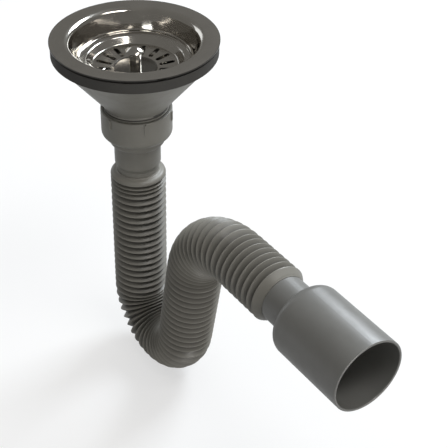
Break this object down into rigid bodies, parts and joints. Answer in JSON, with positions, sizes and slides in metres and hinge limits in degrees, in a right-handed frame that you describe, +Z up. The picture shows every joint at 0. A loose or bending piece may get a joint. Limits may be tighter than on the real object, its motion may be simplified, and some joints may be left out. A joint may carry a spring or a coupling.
{
  "type": "flexible sink trap",
  "caption": "Sink strainer with a lift-out basket on a funnel, joined by a union nut to a corrugated hose that is bent into a water trap and ends in a plain push-in cup.",
  "frame": {"origin": "on the strainer's axis, in the plane where the sink is clamped between the two gaskets", "axes": "+Z up along the strainer's axis, +X along the outlet's heading; the hose lies in the XZ plane"},
  "size_m": [0.3082, 0.114, 0.2616],
  "materials": {
    "steel": "polished",
    "screw_steel": "satin",
    "brass": "satin",
    "rubber": "matte",
    "grey_moulding": "satin",
    "hose": "satin",
    "cup": "semi-gloss"
  },
  "bodies": {
    "strainer": {"strainer_bowl": "steel", "flange_gasket": "rubber", "sink_gasket": "rubber", "waste_body": "grey_moulding", "fixing_screw": "screw_steel", "screw_insert": "brass", "outlet_washer": "rubber"},
    "basket": {"basket_cup": "steel", "basket_knob": "steel", "plug_seal": "rubber", "basket_nut": "screw_steel"},
    "slip_ring": {"slip_ring": "grey_moulding"},
    "union_nut": {"union_nut": "grey_moulding"},
    "hose": {"inlet_tail": "grey_moulding", "bellows_hose": "hose"},
    "outlet": {"outlet_adaptor": "cup"}
  },
  "joints": [
    {"name": "basket_lift", "type": "slide", "parent": "strainer", "child": "basket", "axis": [0, 0, 1], "range_m": [0, 0.0085]},
    {"name": "nut_travel", "type": "slide", "parent": "strainer", "child": "slip_ring", "axis": [0, 0, -1], "range_m": [0, 0.009]},
    {"name": "nut_turn", "type": "hinge", "parent": "slip_ring", "child": "union_nut", "pos_m": [0, 0, -0.0682], "axis": [0, 0, -1], "range_deg": [0, 1400]},
    {"name": "trap_swivel", "type": "hinge", "parent": "strainer", "child": "hose", "pos_m": [0, 0, -0.0639], "axis": [0, 0, 1], "continuous": true},
    {"name": "outlet_flex", "type": "hinge", "parent": "hose", "child": "outlet", "pos_m": [0.09508, 0, -0.11581], "axis": [0, -1, 0], "range_deg": [-25, 25], "deforming": ["bellows_hose"]}
  ],
  "couplings": [
    {"joint": "nut_travel", "follows": "nut_turn", "m_per_rad": 0.00036749}
  ]
}
